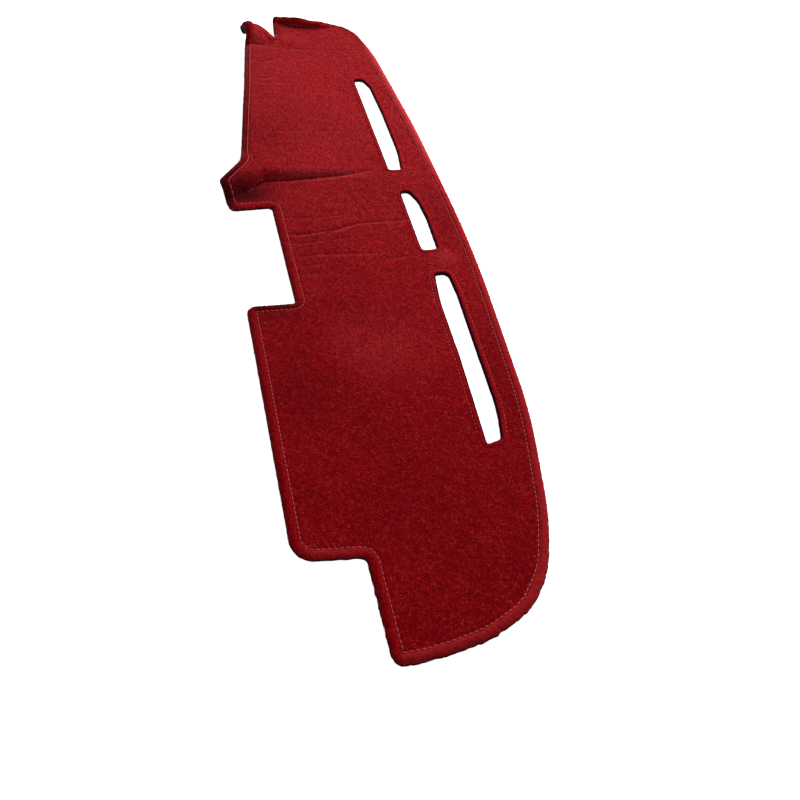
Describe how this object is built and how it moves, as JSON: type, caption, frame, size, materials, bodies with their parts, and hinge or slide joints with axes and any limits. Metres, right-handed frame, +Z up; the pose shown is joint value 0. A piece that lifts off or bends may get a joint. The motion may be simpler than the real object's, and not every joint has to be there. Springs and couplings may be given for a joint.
{
  "type": "dashboard cover mat",
  "caption": "Carpet cover mat for a car dashboard, with cut-out slots for the windscreen vents, a raised shaped area over the instruments and stitched turned-under edges",
  "frame": {"origin": "under the middle of the mat's box, on the surface that it lies on", "axes": "+X along the dashboard toward the passenger's end, +Y toward the windscreen, +Z up"},
  "size_m": [1.4506, 0.3874, 0.0442],
  "materials": {
    "carpet": "short cut pile, velvety"
  },
  "bodies": {
    "root": {"carpet_mat": "carpet"}
  },
  "joints": []
}
